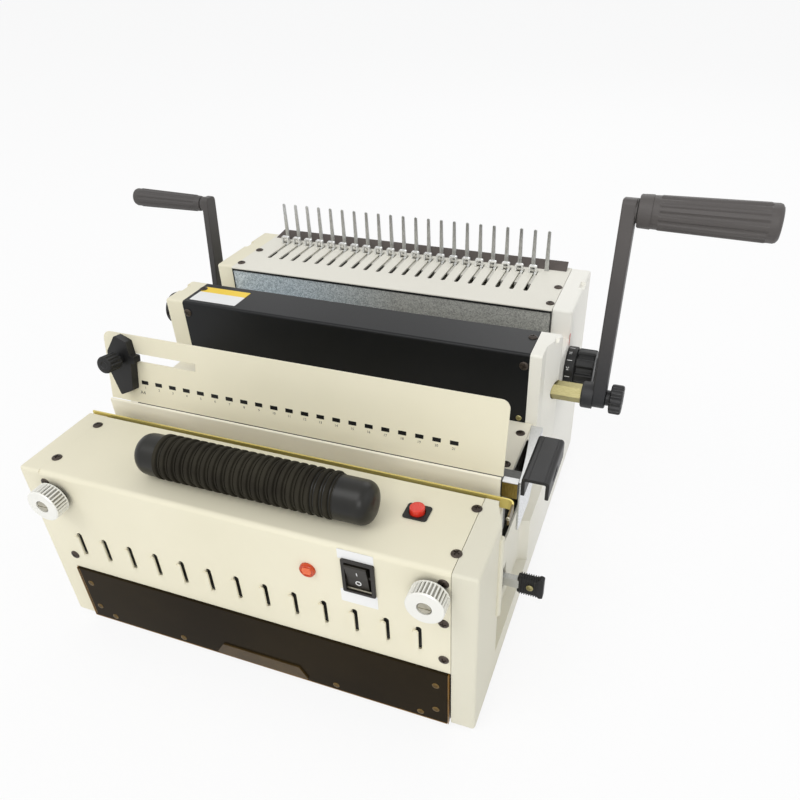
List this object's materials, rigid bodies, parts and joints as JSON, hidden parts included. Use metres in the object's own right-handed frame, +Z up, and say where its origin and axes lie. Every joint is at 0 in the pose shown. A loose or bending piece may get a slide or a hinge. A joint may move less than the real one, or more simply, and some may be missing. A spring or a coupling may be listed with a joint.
{
  "type": "electric comb and wire binding machine",
  "caption": "Desktop electric punch with a comb opener, a wire closer, a pull-out die, a chip drawer and two hand cranks.",
  "frame": {"origin": "on the table, under the middle of the whole machine with its cranks", "axes": "+X to the operator's right, +Y to the back, +Z up"},
  "size_m": [0.662, 0.424, 0.3433],
  "materials": {
    "cream_paint": "satin powder coat",
    "black_paint": "satin powder coat",
    "galvanised": "spangled zinc",
    "steel": "machined",
    "stainless": "fine brushed",
    "chrome": "polished",
    "brass": "yellow passivated",
    "zinc_yellow": "yellow zinc",
    "dark_strip": "satin",
    "black_plastic": "moulded",
    "grip_rubber": "ribbed",
    "foot_rubber": "matte",
    "smoked_acrylic": "smoked, polished",
    "red_plastic": "glossy",
    "amber_lens": "faceted",
    "screw_black": "black oxide",
    "motor_paint": "enamel"
  },
  "bodies": {
    "housing": {"base_plate": "galvanised", "rubber_feet": "foot_rubber", "right_side_cover": "cream_paint", "left_side_cover": "cream_paint", "front_cover": "cream_paint", "mid_deck": "cream_paint", "punch_cover": "black_paint", "galvanised_plate": "galvanised", "comb_deck": "cream_paint", "rear_cover": "cream_paint", "power_inlet": "black_plastic", "comb_fingers": "chrome", "comb_back_strip": "dark_strip", "die_bar": "cream_paint", "guide_plate": "cream_paint", "guide_brackets": "cream_paint", "handle_core": "black_plastic", "handle_sleeve": "grip_rubber", "pilot_lamp": "amber_lens", "switch_housing": "black_plastic", "button_bezel": "black_plastic", "frame_plates": "galvanised", "die_shelf": "steel", "chip_chute": "galvanised", "gearbox": "steel", "motor": "motor_paint", "carriage_rails": "steel", "lock_bracket": "steel", "cover_screws": "screw_black"},
    "drawer": {"drawer_front": "smoked_acrylic", "drawer_tray": "galvanised", "drawer_screws": "brass"},
    "switch_rocker": {"rocker": "black_plastic"},
    "button_cap": {"start_button": "red_plastic"},
    "left_front_knob": {"left_closer_knob": "chrome"},
    "right_front_knob": {"right_closer_knob": "chrome"},
    "closer_drive": {"closer_shaft": "steel"},
    "closer": {"closer_platen": "zinc_yellow"},
    "paper_guide": {"edge_guide": "black_plastic"},
    "paper_guide_knob": {"edge_guide_knob": "black_plastic"},
    "die": {"die_block": "brass", "die_bracket": "stainless", "die_handle": "black_plastic"},
    "pins": {"punch_pins": "steel"},
    "die_lock": {"die_lock_lever": "stainless", "die_lock_grip": "black_plastic"},
    "ram": {"punch_ram": "steel"},
    "punch_crank": {"punch_shaft": "brass", "drive_gear": "steel", "right_crank_arm": "black_plastic"},
    "thumb_knob": {"crank_thumb_knob": "black_plastic"},
    "right_grip": {"right_crank_grip": "black_plastic"},
    "motor_pinion": {"drive_pinion": "steel"},
    "comb_crank": {"comb_shaft": "steel", "left_crank_arm": "black_plastic"},
    "left_grip": {"left_crank_grip": "black_plastic"},
    "opener": {"hook_carriage": "steel", "comb_hooks": "chrome"},
    "dial": {"size_dial": "black_plastic"},
    "depth_setting": {"depth_knob": "black_plastic"}
  },
  "joints": [
    {"name": "drawer_slide", "type": "slide", "parent": "housing", "child": "drawer", "axis": [0, -1, 0], "range_m": [0, 0.09]},
    {"name": "rocker_tip", "type": "hinge", "parent": "housing", "child": "switch_rocker", "pos_m": [0.0862, -0.19, 0.1454], "axis": [1, 0, 0], "range_deg": [-18, 0]},
    {"name": "button_press", "type": "slide", "parent": "housing", "child": "button_cap", "axis": [0, 0, -1], "range_m": [0, 0.003], "stiffness_N_per_m": 300, "springref_m": -0.002},
    {"name": "left_front_knob_turn", "type": "hinge", "parent": "housing", "child": "left_front_knob", "pos_m": [-0.1773, -0.192, 0.152], "axis": [0, -1, 0], "continuous": true},
    {"name": "right_front_knob_turn", "type": "hinge", "parent": "housing", "child": "right_front_knob", "pos_m": [0.1413, -0.192, 0.152], "axis": [0, -1, 0], "continuous": true},
    {"name": "closer_turn", "type": "hinge", "parent": "housing", "child": "closer_drive", "pos_m": [-0.018, -0.146, 0.135], "axis": [1, 0, 0], "range_deg": [0, 90]},
    {"name": "closer_press", "type": "slide", "parent": "housing", "child": "closer", "axis": [0, 1, 0], "range_m": [0, 0.012]},
    {"name": "paper_guide_slide", "type": "slide", "parent": "housing", "child": "paper_guide", "axis": [1, 0, 0], "range_m": [-0.009, 0.066]},
    {"name": "paper_guide_knob_turn", "type": "hinge", "parent": "paper_guide", "child": "paper_guide_knob", "pos_m": [-0.181, -0.07743, 0.2163], "axis": [0, -0.9827, 0.1851], "continuous": true},
    {"name": "die_pull", "type": "slide", "parent": "housing", "child": "die", "axis": [1, 0, 0], "range_m": [0, 0.37]},
    {"name": "pin_stroke", "type": "slide", "parent": "die", "child": "pins", "axis": [0, -1, 0], "range_m": [0, 0.009]},
    {"name": "die_lock_lift", "type": "hinge", "parent": "housing", "child": "die_lock", "pos_m": [0.132, -0.077, 0.096], "axis": [0, 1, 0], "range_deg": [-8, 0]},
    {"name": "ram_stroke", "type": "slide", "parent": "housing", "child": "ram", "axis": [0, -1, 0], "range_m": [0, 0.009]},
    {"name": "punch_crank_turn", "type": "hinge", "parent": "housing", "child": "punch_crank", "pos_m": [-0.018, 0.058, 0.17], "axis": [1, 0, 0], "range_deg": [0, 75]},
    {"name": "thumb_knob_turn", "type": "hinge", "parent": "punch_crank", "child": "thumb_knob", "pos_m": [0.222, 0.058, 0.17], "axis": [1, 0, 0], "continuous": true},
    {"name": "right_grip_spin", "type": "hinge", "parent": "punch_crank", "child": "right_grip", "pos_m": [0.278, 0.09147, 0.32748], "axis": [1, 0, 0], "continuous": true},
    {"name": "pinion_turn", "type": "hinge", "parent": "housing", "child": "motor_pinion", "pos_m": [0.042, 0.058, 0.136], "axis": [1, 0, 0], "range_deg": [-138, 0]},
    {"name": "comb_crank_turn", "type": "hinge", "parent": "housing", "child": "comb_crank", "pos_m": [-0.018, 0.141, 0.158], "axis": [1, 0, 0], "range_deg": [0, 115]},
    {"name": "left_grip_spin", "type": "hinge", "parent": "comb_crank", "child": "left_grip", "pos_m": [-0.288, 0.15202, 0.27247], "axis": [-1, 0, 0], "continuous": true},
    {"name": "opener_slide", "type": "slide", "parent": "housing", "child": "opener", "axis": [0, -1, 0], "range_m": [0, 0.0402]},
    {"name": "dial_turn", "type": "hinge", "parent": "housing", "child": "dial", "pos_m": [0.182, 0.104, 0.169], "axis": [1, 0, 0], "range_deg": [0, 300]},
    {"name": "depth_turn", "type": "hinge", "parent": "housing", "child": "depth_setting", "pos_m": [-0.218, 0.041, 0.203], "axis": [-1, 0, 0], "range_deg": [0, 300]}
  ],
  "couplings": [
    {"joint": "closer_press", "follows": "closer_turn", "m_per_rad": 0.007639},
    {"joint": "ram_stroke", "follows": "punch_crank_turn", "m_per_rad": 0.006875},
    {"joint": "pin_stroke", "follows": "punch_crank_turn", "m_per_rad": 0.006875},
    {"joint": "pinion_turn", "follows": "punch_crank_turn", "ratio": -1.8333},
    {"joint": "opener_slide", "follows": "comb_crank_turn", "m_per_rad": 0.02}
  ]
}
